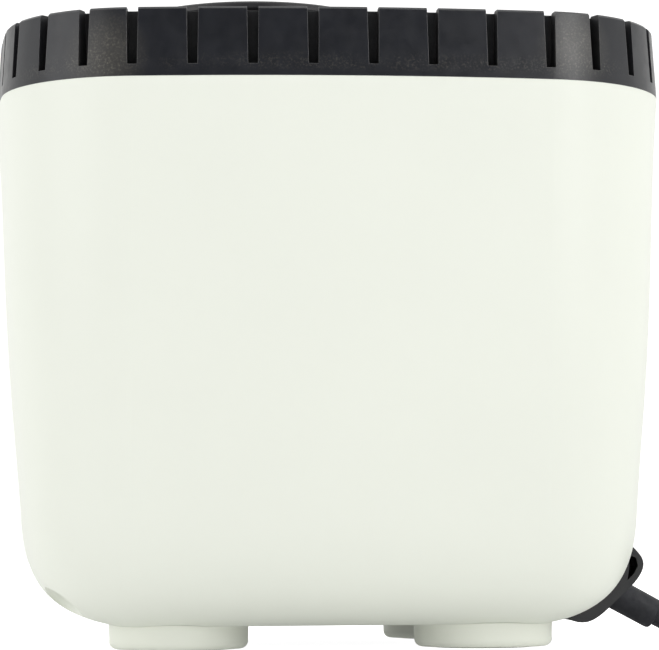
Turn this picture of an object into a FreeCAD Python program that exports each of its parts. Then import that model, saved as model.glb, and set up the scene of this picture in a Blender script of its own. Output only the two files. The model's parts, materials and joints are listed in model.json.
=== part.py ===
"""Countertop circulating water bath: squat moulded body, castellated vent crown, hinged lid.

Millimetres. +Z up, origin on the floor under the middle of the body. The lid's front, with
its dial, finger pocket and buttons, is towards -X; the hinge and the mains cord are at +X.
"""
import FreeCAD, Part
import math
import os

os.makedirs("parts", exist_ok=True)
V = FreeCAD.Vector
UP = V(0, 0, 1)

# Driving dimensions
HALF = 116.5            # half width of the body where it meets the crown
FACE_R = 608.0          # plan radius of each gently bowed side
CORNER_R = 48.8         # plan radius of each corner
BASE_Z = 8.2            # underside of the body
RIM_Z = 187.3           # top edge of the body, under the crown
CROWN_Z = 210.4         # top of the crown's teeth
WALL = 3.2              # body wall
FLOOR_Z = BASE_Z + WALL
CORE = 46.6             # inset at which swept rims meet a plain core
SIDE = [(0, 187.3), (2.05, 154), (3.5, 119.5), (5.7, 85.2), (8.7, 50), (11.45, 30.5),
        (17.85, 19), (29.9, 11), (40.7, 8.2)]     # inset and height down the side

FOOT_AT = 52.4          # foot centres, in X and Y
FOOT_R = 24.3
FEET = [(sx * FOOT_AT, sy * FOOT_AT) for sx in (-1, 1) for sy in (-1, 1)]
TOOTH_PITCH = 19.73     # along a side, with a tooth at its middle
SLOT_W = 3.2            # at the slot's closed end
SLOT_Z = 191.3          # closed end of the slots
SLOT_DEPTH = 6.2

TANK_INSET = 35.0
TANK_Z = 72.0           # underside of the tank
SHEET = 1.0
LEDGE_Z = 190.4         # ledge of the crown that carries the tank
FLANGE_Z = 191.6

LID_INSET = 10.8
LID_Z = 209.0           # top of the lid
LID_SKIN = 2.5
LID_BACK = 84.5         # the lid's rear edge
REAR_TRIM = 176.5       # sum of X and Y at which the lid's rear corners are cut off
LINER_Z = 195.6
HINGE_X = 89.0
HINGE_Z = 205.4
KNUCKLE_Y = 50.0
KNUCKLE_R = 4.0
PIN_R = 1.5
DECK_X = 95.5           # front edge of the fixed deck behind the lid

DIAL_X = -23.2
DIAL_R = 45.5
DIAL_Z = 226.4
BUTTON_Y = 43.0
PANEL_X = -81.0         # middle of the display and the buttons

SHAFT_R = 1.6
RUN = 0.05              # radial running clearance

CORD_D = 7.4
BOOT_DIP = 28.6         # degrees that the cord points down where it leaves the body
BOOT_ROOT = V(96, 0, 24.0)
BOOT_LEN = 31.0
BOOT_R = (5.8, 5.5, 4.3)     # radii at the root, where its end starts to narrow, and at the tip
BOOT_END = 3.5          # length of the narrowing end
COIL_C = V(190, 30, 0)
COIL_R = (36.3, 43.7)   # radii of the coil's turns
CORD_CORNERS = [(133.2, 0, 3.7), (148, -3, 3.7), (162, -6.6, 3.7), (175.1, -11.1, 3.7)]
TAIL_CORNERS = [(233.7, 30, 11.1), (234.4, 42, 10.6), (236.2, 53, 10.0), (238.6, 62, 10.0)]
PLUG_LEN = 32.0


def save(name, shape):
    """Write one named sub-part."""
    shape.exportStep("parts/%s.step" % name)
    print("%-20s solids %2d  volume %10.0f" % (name, len(shape.Solids), shape.Volume))


def box(low, high):
    return Part.makeBox(high[0] - low[0], high[1] - low[1], high[2] - low[2], V(*low))


def cyl(r, low, high, x=0.0, y=0.0):
    return Part.makeCylinder(r, high - low, V(x, y, low))


def tube(outer, inner, low, high, x=0.0, y=0.0):
    return cyl(outer, low, high, x, y).cut(cyl(inner, low, high, x, y))


def turned(points, x=0.0, y=0.0):
    """Solid of revolution about Z from (radius, height) points."""
    face = Part.Face(Part.makePolygon([V(r, 0, z) for r, z in points + points[:1]]))
    solid = face.revolve(V(0, 0, 0), UP, 360)
    solid.translate(V(x, y, 0))
    return solid


def around(shape, count, start=0.0):
    """Copies of a shape, evenly spaced about Z."""
    copies = []
    for i in range(count):
        copy = shape.copy()
        copy.rotate(V(0, 0, 0), UP, start + 360.0 * i / count)
        copies.append(copy)
    return copies


# Plan outline: four bowed sides and four corners, all tangent arcs
BOW = FACE_R - HALF
CORNER_C = (-2 * BOW + math.sqrt(4 * BOW ** 2 - 8 * (BOW ** 2 - (FACE_R - CORNER_R) ** 2))) / 4
SIDE_T = math.atan2(CORNER_C, CORNER_C + BOW)


def side_point(k, t, inset=0.0, z=0.0):
    """Point on side k at angle t from its middle."""
    x = (FACE_R - inset) * math.sin(t)
    y = BOW - (FACE_R - inset) * math.cos(t)
    turn = k * math.pi / 2
    return V(x * math.cos(turn) - y * math.sin(turn), x * math.sin(turn) + y * math.cos(turn), z)


def corner_point(k, t, inset=0.0, z=0.0):
    """Point on the corner after side k, t counted from that side's direction."""
    x = CORNER_C + (CORNER_R - inset) * math.sin(t)
    y = -CORNER_C - (CORNER_R - inset) * math.cos(t)
    turn = k * math.pi / 2
    return V(x * math.cos(turn) - y * math.sin(turn), x * math.sin(turn) + y * math.cos(turn), z)


def outline(inset=0.0, z=0.0):
    """Closed wire at an inset, starting at the middle of the -Y side."""
    def arc(point, k, a, b):
        mid = (a + b) / 2
        return Part.Arc(point(k, a, inset, z), point(k, mid, inset, z), point(k, b, inset, z)).toShape()
    edges = [arc(side_point, 0, 0, SIDE_T)]
    for k in range(4):
        edges.append(arc(corner_point, k, SIDE_T, math.pi / 2 - SIDE_T))
        if k < 3:
            edges.append(arc(side_point, k + 1, -SIDE_T, SIDE_T))
    edges.append(arc(side_point, 0, -SIDE_T, 0))
    return Part.Wire(edges)


def slab(inset, low, high):
    return Part.Face(outline(inset, low)).extrude(V(0, 0, high - low))


def at(inset, z):
    """Profile point in the plane through the middle of the -Y side."""
    return V(0, -HALF + inset, z)


def rim(edges):
    """Sweep a closed profile round the outline."""
    return outline().makePipeShell([Part.Wire(Part.__sortEdges__(edges))], True, True)


def rim_polygon(points):
    corners = [at(*p) for p in points]
    return rim(Part.makePolygon(corners + corners[:1]).Edges)


def side_curve(depth):
    """The side's profile, moved inwards by a depth."""
    curve = Part.BSplineCurve()
    curve.interpolate([at(*p) for p in SIDE])
    if depth == 0:
        return curve
    moved = []
    steps = 16
    for i in range(steps + 1):
        u = curve.FirstParameter + (curve.LastParameter - curve.FirstParameter) * i / steps
        t = curve.tangent(u)[0]
        moved.append(curve.value(u) + V(0, -t.z, t.y) * depth)
    inner = Part.BSplineCurve()
    inner.interpolate(moved)
    return inner


def body_form(depth, top):
    """Filled body, its side moved inwards by a depth."""
    curve = side_curve(depth)
    start = curve.StartPoint
    end = curve.EndPoint
    lip = V(0, start.y, top)
    edges = [curve.toShape(), Part.makeLine(end, V(0, CORE - HALF, end.z))]
    edges.append(Part.makeLine(V(0, CORE - HALF, end.z), V(0, CORE - HALF, top)))
    edges.append(Part.makeLine(V(0, CORE - HALF, top), lip))
    if top - start.z > 1e-6:
        edges.append(Part.makeLine(lip, start))
    return rim(edges).fuse(slab(CORE - 0.5, end.z, top)).removeSplitter()


# ---------------------------------------------------------------- base
HATCH_R = 44.0
HATCH_HOLE_R = 36.0
HATCH_LEDGE = 10.0
SCREW_R = 1.25
PANEL_Y = 58.0          # half length of the cord panel
COVER_Y = 22.0          # half length of the drain cover's recess
COVER_LOW = 9.6         # heights between which the drain cover is let in
COVER_TOP = 23.5
RECESS = 2.0            # depth of the recesses in the lower edges
PANEL_LOW = 9.4         # heights between which the cord panel is let in
PANEL_TOP = 35.6
PANEL_OUT = [(32.5, 9.6), (29, 8.2), (25.8, 8.2), (20.6, 10.9), (14.1, 16.9), (9.9, 20.8),
             (6.8, 24.9), (5.9, 28.4), (7.7, 32), (10.3, 34.6)]     # inset and height of its outer face
SCOOP_AT = V(-92.2, 62, 15.6)       # finger scoops in the lower front edge
SCOOP_HALF = (5.0, 20.0, 8.6)       # depth, half length and half height
SCOOP_TILT = 56.4       # degrees that a scoop faces below level
SCOOP_SKIN = 2.2        # wall behind a scoop
PANEL_BORE = [(10.9, 31.2), (8.5, 30.2), (7.9, 27.4), (9.3, 24.7), (11.6, 22.4), (10.9, 27)]
BODY = body_form(0, RIM_Z)


def hatch_screw_places():
    return [(40 * math.cos(a), 40 * math.sin(a)) for a in (math.pi / 4 * (2 * i + 1) for i in range(4))]


def lower_edge(x_sign, half_y, low, high, inner):
    """Outer layer of the lower edge on one X side, down to a depth, between two heights."""
    band = BODY.cut(body_form(inner, RIM_Z + 1))
    region = box((60, -half_y, low), (140, half_y, high))
    if x_sign < 0:
        region = region.mirror(V(0, 0, 0), V(1, 0, 0))
    return band.common(region)


def bare_wall():
    return BODY.cut(body_form(WALL, RIM_Z + 3))


def scoops(grow):
    """Hollow of the finger scoop at each end of the lower front edge."""
    deep, wide, tall = SCOOP_HALF
    size = FreeCAD.Matrix()
    size.scale(deep + grow, wide + grow, tall + grow)
    hollow = Part.makeSphere(1).transformGeometry(size)
    hollow.rotate(V(0, 0, 0), V(0, 1, 0), -SCOOP_TILT)
    hollow.translate(SCOOP_AT)
    return hollow.fuse(hollow.mirror(V(0, 0, 0), V(0, 1, 0)))


def outer_shell():
    shell = bare_wall()
    shell = shell.fuse(scoops(SCOOP_SKIN).common(BODY)).cut(scoops(0))
    shell = shell.cut(cyl(HATCH_R, BASE_Z - 1, HATCH_LEDGE)).cut(cyl(HATCH_HOLE_R, 0, FLOOR_Z + 1))
    for x, y in hatch_screw_places():
        shell = shell.fuse(cyl(4.0, HATCH_LEDGE, 20, x, y)).cut(cyl(SCREW_R, 0, 19, x, y))
    shell = shell.cut(lower_edge(1, PANEL_Y + 0.6, PANEL_LOW, PANEL_TOP, RECESS))
    shell = shell.cut(lower_edge(-1, COVER_Y, COVER_LOW, COVER_TOP, RECESS))
    return shell.cut(boot_form(0.0)).cut(drain_line(5.0, 84, 110))


def bottom_cover():
    cover = cyl(HATCH_R - 0.3, 8.4, HATCH_LEDGE)
    slots = around(box((12, -1.5, 0), (31, 1.5, 20)), 12)
    slots += around(box((22, -1.2, 0), (31, 1.2, 20)), 12, 15)
    for slot in slots:
        cover = cover.cut(slot)
    for x, y in hatch_screw_places():
        cover = cover.cut(cyl(SCREW_R, 0, 20, x, y)).cut(cyl(2.6, 0, 9.4, x, y))
    return cover


def hatch_screws():
    screws = []
    for x, y in hatch_screw_places():
        head = cyl(2.6, 8.6, 9.4, x, y).cut(box((x - 1.8, y - 0.35, 8), (x + 1.8, y + 0.35, 9.0)))
        screws.append(head.fuse(cyl(SCREW_R, 9.4, 18, x, y)))
    return Part.Compound(screws)


def foot(x, y):
    """Round foot whose top follows the underside of the body."""
    edge = 2.6
    low = 0.3
    profile = [V(0, 0, low), V(FOOT_R - 0.6 - edge, 0, low)]
    arc = Part.Arc(profile[1], V(FOOT_R - 0.6 - edge * 0.293, 0, low + edge * 0.293),
                   V(FOOT_R - 0.6, 0, low + edge))
    top = 22.0
    edges = [Part.makeLine(profile[0], profile[1]), arc.toShape()]
    edges.append(Part.makeLine(V(FOOT_R - 0.6, 0, low + edge), V(FOOT_R, 0, top)))
    edges.append(Part.makeLine(V(FOOT_R, 0, top), V(0, 0, top)))
    edges.append(Part.makeLine(V(0, 0, top), profile[0]))
    solid = Part.Face(Part.Wire(edges)).revolve(V(0, 0, 0), UP, 360)
    solid.translate(V(x, y, 0))
    pocket = cyl(17.2, 0, 1.8, x, y)
    return solid.cut(BODY).cut(pocket)


def foot_pads():
    return Part.Compound([cyl(17, 0, 1.8, x, y).cut(tube(12, 10, -1, 0.6, x, y)) for x, y in FEET])


def slot_places():
    """Foot and outward direction of every slot of the crown."""
    places = []
    half_side = FACE_R * SIDE_T
    corner_len = CORNER_R * (math.pi / 2 - 2 * SIDE_T)
    for k in range(4):
        for i in range(8):
            t = (i - 3.5) * TOOTH_PITCH / FACE_R
            places.append((side_point(k, t), t + k * math.pi / 2))
        last = 3.5 * TOOTH_PITCH
        span = corner_len + 2 * (half_side - last)
        for i in range(3):
            s = span * (i + 1) / 4 - (half_side - last)
            t = SIDE_T + s / CORNER_R
            places.append((corner_point(k, t), t + k * math.pi / 2))
    return places


def slot_cutters():
    flare = 0.35
    high = CROWN_Z + 2.8
    corners = [(-SLOT_W / 2, SLOT_Z), (SLOT_W / 2, SLOT_Z)]
    corners += [(SLOT_W / 2 + flare, high), (-SLOT_W / 2 - flare, high)]
    face = Part.Face(Part.makePolygon([V(x, -4, z) for x, z in corners + corners[:1]]))
    cutters = []
    for point, turn in slot_places():
        cutter = face.extrude(V(0, SLOT_DEPTH + 4, 0))
        cutter.rotate(V(0, 0, 0), UP, math.degrees(turn))
        cutter.translate(point)
        cutters.append(cutter)
    return Part.Compound(cutters)


def ears():
    """Pairs of hinge ears at each end of each knuckle."""
    out = []
    for side in (-1, 1):
        for end in (-1, 1):
            mid = side * KNUCKLE_Y + end * 13.5
            ear = box((HINGE_X, mid - 1.2, HINGE_Z - 6.5), (DECK_X + 1, mid + 1.2, HINGE_Z + 3.5))
            barrel = Part.makeCylinder(3.5, 2.4, V(HINGE_X, mid - 1.2, HINGE_Z), V(0, 1, 0))
            out.append(ear.fuse(barrel))
    return out


def hinge_pin_form(r, reach):
    return [Part.makeCylinder(r, 2 * reach, V(HINGE_X, s * KNUCKLE_Y - reach, HINGE_Z), V(0, 1, 0))
            for s in (-1, 1)]


def vent_crown():
    back = CROWN_Z - 1.5
    inner = 10.0
    points = [(0, RIM_Z), (1.4, CROWN_Z - 0.7), (2.1, CROWN_Z), (5.7, CROWN_Z), (6.9, back), (9.3, back),
              (inner, back - 0.7), (inner, LEDGE_Z), (TANK_INSET - 1, LEDGE_Z), (TANK_INSET - 1, RIM_Z),
              (5.8, RIM_Z), (5.8, RIM_Z - 7), (4.0, RIM_Z - 7), (4.0, RIM_Z)]
    crown = rim_polygon(points).cut(slot_cutters())
    deck = slab(inner - 0.5, back - 3.2, back).fuse(slab(inner - 0.5, LEDGE_Z - 0.5, back).common(
        box((DECK_X, -120, 0), (DECK_X + 2.5, 120, 300))))
    crown = crown.fuse(deck.common(box((DECK_X, -120, 0), (140, 120, 300))))
    for ear in ears():
        crown = crown.fuse(ear)
    for pin in hinge_pin_form(PIN_R, 14.7):
        crown = crown.cut(pin)
    for slot in vent_deck_slots():
        crown = crown.cut(slot)
    return crown


def vent_deck_slots():
    """Air outlets through the deck behind the lid."""
    return [box((98.5, y - 1.4, 200), (103, y + 1.4, 215)) for y in range(-60, 61, 8)]


def vessel(inset, radius, low, high):
    """Filled pan with rounded lower edge."""
    knee = radius * (1 - math.sqrt(0.5))
    arc = Part.Arc(at(inset, low + radius), at(inset + knee, low + knee), at(inset + radius, low))
    edges = [Part.makeLine(at(inset, high), at(inset, low + radius)), arc.toShape()]
    edges.append(Part.makeLine(at(inset + radius, low), at(CORE + 0.5, low)))
    edges.append(Part.makeLine(at(CORE + 0.5, low), at(CORE + 0.5, high)))
    edges.append(Part.makeLine(at(CORE + 0.5, high), at(inset, high)))
    return rim(edges).fuse(slab(CORE, low, high))


def water_tank():
    top = FLANGE_Z + SHEET
    tank = vessel(TANK_INSET, 11, TANK_Z, top)
    flange = [(22, FLANGE_Z), (22, top), (TANK_INSET + 0.5, top), (TANK_INSET + 0.5, FLANGE_Z)]
    tank = tank.fuse(rim_polygon(flange))
    tank = tank.cut(vessel(TANK_INSET + SHEET, 10, TANK_Z + SHEET, top + 5))
    return tank.cut(probe_form(2.5)).cut(drain_riser(4.0))


def tank_gasket():
    return rim_polygon([(24, LEDGE_Z), (24, FLANGE_Z), (31, FLANGE_Z), (31, LEDGE_Z)])


# ---------------------------------------------------------------- under the tank
PLATE_LOW = 67.0
ELEMENT_R = 46.0
ELEMENT_WIRE = 3.5
MAGNET_R = 18.0


def element_ring(r):
    return Part.makeTorus(ELEMENT_R, r, V(0, 0, PLATE_LOW - 2.5))


def heater_plate():
    plate = tube(66, MAGNET_R + 6, PLATE_LOW, TANK_Z)
    return plate.cut(element_ring(ELEMENT_WIRE)).cut(element_leads(3.0)).cut(drain_riser(9.3))


def element_leads(r):
    """Two cold ends of the heating element, bent down."""
    low = 60.5
    ends = [cyl(r, low - 3, PLATE_LOW - 2.5, ELEMENT_R, y) for y in (-8, 8)]
    return ends[0].fuse(ends[1])


def heating_element():
    gap = box((ELEMENT_R - 12, -4, 50), (ELEMENT_R + 12, 4, 80))
    return element_ring(ELEMENT_WIRE).cut(gap).fuse(element_leads(2.6))


def heat_shield():
    low = 56.0
    trough = tube(71, MAGNET_R + 5, low, PLATE_LOW).cut(tube(70, MAGNET_R + 6, low + 1, PLATE_LOW + 1))
    return trough.cut(element_leads(4.0)).cut(cyl(4.0, low - 5, low + 2, ELEMENT_R, -8)).cut(
        cyl(4.0, low - 5, low + 2, ELEMENT_R, 8)).cut(drain_riser(8.0))


def thermal_fuse():
    body = Part.makeCylinder(2.4, 14, V(-7, -58, PLATE_LOW - 2.4), V(1, 0, 0))
    leads = Part.makeCylinder(0.6, 26, V(-13, -58, PLATE_LOW - 2.4), V(1, 0, 0))
    return body.fuse(leads)


def probe_form(r):
    return Part.makeCylinder(r, 34, V(58, 0, 104), V(1, 0, 0))


def temperature_probe():
    rod = probe_form(2.5)
    tip = Part.makeSphere(2.5, V(58, 0, 104))
    collar = Part.makeCylinder(5, 3, V(HALF - TANK_INSET - SHEET - 3, 0, 104), V(1, 0, 0))
    flat = box((60, -10, 90), (HALF - TANK_INSET - SHEET, 10, 120))
    return rod.fuse(tip).fuse(collar.common(flat))


def probe_nut():
    x = HALF - TANK_INSET + 0.2
    points = [V(x, 6 * math.cos(i * math.pi / 3), 104 + 6 * math.sin(i * math.pi / 3)) for i in range(7)]
    nut = Part.Face(Part.makePolygon(points)).extrude(V(4, 0, 0))
    return nut.cut(probe_form(2.5))


# Drain: a short riser from the tank floor, an elbow and a run to the front lower edge
DRAIN_AT = V(-56, 0, 0)
DRAIN_Z = 24.0


def drain_riser(r):
    return cyl(r, DRAIN_Z, TANK_Z + 3, DRAIN_AT.x, DRAIN_AT.y)


def drain_line(r, near, far):
    """Stretch of the drain's level run, from one distance forwards to another."""
    return Part.makeCylinder(r, far - near, V(-near, 0, DRAIN_Z), V(-1, 0, 0))


def drain_tube():
    outer = cyl(5.5, DRAIN_Z, TANK_Z, DRAIN_AT.x).fuse(Part.makeSphere(5.5, V(DRAIN_AT.x, 0, DRAIN_Z)))
    outer = outer.fuse(drain_line(5.5, 56, 94)).fuse(cyl(9, TANK_Z - 2.0, TANK_Z, DRAIN_AT.x))
    bore = cyl(3.6, DRAIN_Z, TANK_Z + 1, DRAIN_AT.x).fuse(Part.makeSphere(3.6, V(DRAIN_AT.x, 0, DRAIN_Z)))
    return outer.cut(bore).cut(drain_line(3.6, 56, 99))


def drain_bung():
    return drain_line(3.6, 84, 94.6).fuse(drain_line(4.8, 94, 95.4))


def drain_cover():
    """Curved cover over the drain's mouth, flush with the lower edge."""
    gap = 0.7
    return lower_edge(-1, COVER_Y - gap, COVER_LOW + gap, COVER_TOP - gap, RECESS - 0.1)


def chassis_plate():
    plate = box((-62, -62, 34), (62, 62, 35.5)).cut(cyl(8, 30, 40))
    plate = plate.cut(box((-70, -9, 30), (-44, 9, 40)))
    for x, y in FEET:
        plate = plate.cut(cyl(SCREW_R, 30, 40, x, y))
    return plate


def chassis_posts():
    return Part.Compound([cyl(4, FLOOR_Z, 34, x, y) for x, y in FEET])


def chassis_screws():
    screws = []
    for x, y in FEET:
        slot = box((x - 1.8, y - 0.35, 36.8), (x + 1.8, y + 0.35, 38))
        screws.append(cyl(2.6, 35.5, 37.5, x, y).cut(slot).fuse(cyl(SCREW_R, 34, 35.5, x, y)))
    return Part.Compound(screws)


# ---------------------------------------------------------------- pump drive
MOTOR_TOP = 54.0
MOTOR_LOW = 35.5


def circulation_motor():
    can = cyl(17, MOTOR_LOW, MOTOR_TOP - 2).fuse(cyl(6, MOTOR_TOP - 2, MOTOR_TOP))
    flat = box((-22, -6, MOTOR_LOW), (22, 6, MOTOR_LOW + 2))
    return can.fuse(flat).cut(cyl(SHAFT_R + RUN, 0, 100))


def motor_shaft():
    return cyl(SHAFT_R, 19, 64)


def drive_magnet():
    hub = cyl(5, 57, 60).fuse(cyl(MAGNET_R, 60, 66))
    return hub.cut(cyl(SHAFT_R, 0, 64))


def cooling_fan():
    hub = cyl(7, 20, 29).cut(cyl(SHAFT_R, 0, 100))
    blade = box((6, -0.8, 21), (26, 0.8, 28))
    blade.rotate(V(16, 0, 24.5), V(1, 0, 0), 38)
    for one in around(blade, 7):
        hub = hub.fuse(one)
    return hub.cut(cyl(SHAFT_R, 0, 100))


def impeller_post():
    return cyl(6, 73, 74.4).fuse(cyl(2, 74.4, 92))


def impeller_magnet():
    return tube(16, 5, 75, 79.2)


def impeller():
    wheel = cyl(4.9, 75, 90).fuse(cyl(24, 79.4, 80.6))
    blade = Part.makeCylinder(15, 8, V(16, -9, 80.6)).cut(Part.makeCylinder(13.8, 8, V(16, -9, 80.6)))
    blade = blade.common(box((3, -1, 80), (30, 20, 90))).common(cyl(24, 80, 90))
    for one in around(blade, 6):
        wheel = wheel.fuse(one)
    return wheel.cut(cyl(2 + RUN, 0, 200))


def flow_guard():
    dome = turned([(33, 73), (34.5, 73), (34.5, 92), (32, 95.5), (0, 95.5), (0, 94), (31, 94), (33, 92)])
    slots = around(box((28, -2, 76), (40, 2, 91)), 18)
    holes = []
    for radius, count in ((10, 6), (18, 12), (26, 18)):
        holes += around(cyl(2.2, 90, 99, radius), count)
    return dome.cut(Part.Compound(slots + holes))


# ---------------------------------------------------------------- electronics
BOARD_Z = 39.5


def board_posts():
    return Part.Compound([cyl(2.5, 35.5, BOARD_Z, x, y) for x in (28, 56) for y in (-40, 40)])


def power_board():
    return box((24, -46, BOARD_Z), (60, 46, BOARD_Z + 1.6))


def transformer():
    low = BOARD_Z + 1.6
    return box((31, -16, low), (53, 8, low + 12)).fuse(box((35, -18, low), (49, 10, low + 9)))


def relays():
    low = BOARD_Z + 1.6
    return Part.Compound([box((29, y, low), (41, y + 14, low + 10)) for y in (-36, 16)])


def capacitors():
    low = BOARD_Z + 1.6
    return Part.Compound([cyl(3.5, low, low + 10, 50, y) for y in (-34, -25, 16)])


def terminal_block():
    low = BOARD_Z + 1.6
    block = box((46, 24, low), (58, 42, low + 9))
    for y in (27, 33, 39):
        block = block.cut(cyl(1.8, low + 4, low + 20, 51, y))
    return block


# ---------------------------------------------------------------- mains cord
def boot_axis():
    a = math.radians(BOOT_DIP)
    return V(math.cos(a), 0, -math.sin(a))


def boot_form(extra):
    """Tapered strain relief, with its root inside the wall."""
    axis = boot_axis()
    root_r, neck_r, tip_r = BOOT_R
    neck = BOOT_LEN - BOOT_END
    root = Part.makeCylinder(root_r + extra, 8, BOOT_ROOT - axis * 8, axis)
    cone = Part.makeCone(root_r + extra, neck_r + extra, neck, BOOT_ROOT, axis)
    tip = Part.makeCone(neck_r + extra, tip_r + extra, BOOT_END, BOOT_ROOT + axis * neck, axis)
    return root.fuse(cone).fuse(tip)


def strain_relief():
    axis = boot_axis()
    flange = Part.makeCylinder(7.4, 2.4, BOOT_ROOT - axis * 8, axis)
    return boot_form(0.0).fuse(flange)


def cord_panel():
    """Black panel along the lower rear edge, standing proud, with a hollow lip along its top."""
    gap = 0.4
    face = Part.BSplineCurve()
    face.interpolate([at(*p) for p in PANEL_OUT])
    back = [PANEL_OUT[-1], (15.5, 34), (32.5, 16), PANEL_OUT[0]]
    edges = [face.toShape()]
    edges += [Part.makeLine(at(*a), at(*b)) for a, b in zip(back, back[1:])]
    near = box((60, -PANEL_Y, 0), (140, PANEL_Y, 60))
    raised = rim(edges).cut(BODY).common(near)
    inlay = lower_edge(1, PANEL_Y, PANEL_LOW + gap, PANEL_TOP - gap, RECESS - 0.1)
    panel = raised.fuse(inlay).cut(rim_polygon(PANEL_BORE).common(near))
    return panel.cut(boot_form(0.25))


def cord_clamp():
    axis = boot_axis()
    seat = BOOT_ROOT - axis * 22
    block = box((seat.x - 5, -11, FLOOR_Z), (seat.x + 5, 11, seat.z + 6)).cut(bare_wall())
    return block.cut(Part.makeCylinder(CORD_D / 2, 40, BOOT_ROOT - axis * 36, axis))


def cord_entry():
    """Cord inside the housing, from the boot through the clamp to the board."""
    axis = boot_axis()
    return Part.makeCylinder(CORD_D / 2, 22, BOOT_ROOT - axis * 30, axis)


def corner_radius(a, b, c):
    """Arc radius at b: 0.45 of the shorter run over the tangent of half the turn."""
    half = (b - a).getAngle(c - b) / 2
    return 0.45 * min((b - a).Length, (c - b).Length) / math.tan(half)


def cord_path(points):
    """Straight runs joined by tangent arcs."""
    edges = []
    start = points[0]
    for a, b, c in zip(points, points[1:], points[2:]):
        back = 0.45 * min((b - a).Length, (c - b).Length)
        into = b + (a - b).normalize() * back
        out = b + (c - b).normalize() * back
        radius = corner_radius(a, b, c)
        bisect = ((a - b).normalize() + (c - b).normalize()).normalize()
        half = (b - a).getAngle(c - b) / 2
        mid = b + bisect * (radius / math.cos(half) - radius)
        edges.append(Part.LineSegment(start, into).toShape())
        edges.append(Part.Arc(into, mid, out).toShape())
        start = out
        print("cord radius %.1f mm" % radius)
    edges.append(Part.LineSegment(start, points[-1]).toShape())
    return Part.Wire(edges)


def swept_cord(points):
    path = cord_path(points)
    circle = Part.Wire(Part.Circle(points[0], points[1] - points[0], CORD_D / 2).toShape())
    solid = path.makePipeShell([circle], True, True)
    section = math.pi * CORD_D ** 2 / 4
    print("cord length %.1f mm, volume ratio %.3f" % (path.Length, solid.Volume / section / path.Length))
    return solid


def boot_tip():
    return BOOT_ROOT + boot_axis() * BOOT_LEN


def cord_lead():
    return swept_cord([boot_tip()] + [V(*p) for p in CORD_CORNERS])


def cord_tail():
    return swept_cord([V(*p) for p in TAIL_CORNERS])


def coil_form(grow):
    half = CORD_D / 2 + grow
    ring = tube(COIL_R[1] + half, COIL_R[0] - half, -grow, 2 * CORD_D + grow)
    ring.translate(COIL_C)
    return ring


def tie_region():
    return box((COIL_C.x - 6, COIL_C.y + 20, -5), (COIL_C.x + 6, COIL_C.y + 60, 40))


def cord_coil():
    """Envelope of the wound turns, grooved under the tie."""
    groove = tie_region().common(box((100, 0, -5), (300, 200, 0.8)))
    return coil_form(0).cut(groove)


def cord_tie():
    band = coil_form(0.9).cut(coil_form(0.1)).common(tie_region())
    low = tie_region().common(coil_form(0.9)).common(box((100, 0, 0), (300, 200, 0.8)))
    return band.common(box((100, 0, 0), (300, 200, 60))).fuse(low)


def plug_start():
    return V(*TAIL_CORNERS[-1])


def plug_axis():
    ends = [V(*p) for p in TAIL_CORNERS[-2:]]
    run = ends[1] - ends[0]
    return V(run.x, run.y, 0).normalize()


def in_plug_frame(shape):
    """Move a shape drawn along +X from the origin onto the plug's place."""
    axis = plug_axis()
    start = plug_start()
    shape.rotate(V(0, 0, 0), UP, math.degrees(math.atan2(axis.y, axis.x)))
    shape.translate(V(start.x, start.y, 10.0))
    return shape


def plug_body():
    relief = Part.makeCone(4.3, 6.0, 14, V(0, 0, 0), V(1, 0, 0))
    body = box((13, -12.5, -10), (13 + PLUG_LEN - 10, 12.5, 10))
    body = body.makeFillet(4.5, [e for e in body.Edges if abs(e.tangentAt(e.FirstParameter).x) > 0.9])
    face = box((13 + PLUG_LEN - 10, -13, -10), (13 + PLUG_LEN - 4, 13, 10))
    face = face.makeFillet(4.5, [e for e in face.Edges if abs(e.tangentAt(e.FirstParameter).x) > 0.9])
    return in_plug_frame(relief.fuse(body).fuse(face))


def plug_pins():
    start = 13 + PLUG_LEN - 4
    blades = [box((start, s * 6.35 - 0.75, -1.2), (start + 17, s * 6.35 + 0.75, 5.1)) for s in (-1, 1)]
    earth = Part.makeCylinder(2.4, 19, V(start, 0, -5.2), V(1, 0, 0))
    return Part.Compound([in_plug_frame(pin) for pin in blades + [earth]])


# ---------------------------------------------------------------- lid
POCKET = ((-102.5, -22, LID_Z - 6), (-92.5, 22, LID_Z + 7))


def behind(x):
    return box((x, -150, 0), (200, 150, 300))


def rear_corners(inset):
    """Wedges that take off the lid's rear corners, moved inwards by an inset."""
    reach = REAR_TRIM - inset * math.sqrt(2)
    corners = [V(60, reach - 60, 150), V(130, reach - 130, 150), V(130, 200, 150), V(60, 200, 150)]
    wedge = Part.Face(Part.makePolygon(corners + corners[:1])).extrude(V(0, 0, 100))
    return wedge.fuse(wedge.mirror(V(0, 0, 0), V(0, 1, 0)))


BOARD_TOP = LID_Z - 7.4


def button_places():
    return [(PANEL_X, -BUTTON_Y), (PANEL_X, BUTTON_Y)]


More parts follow.
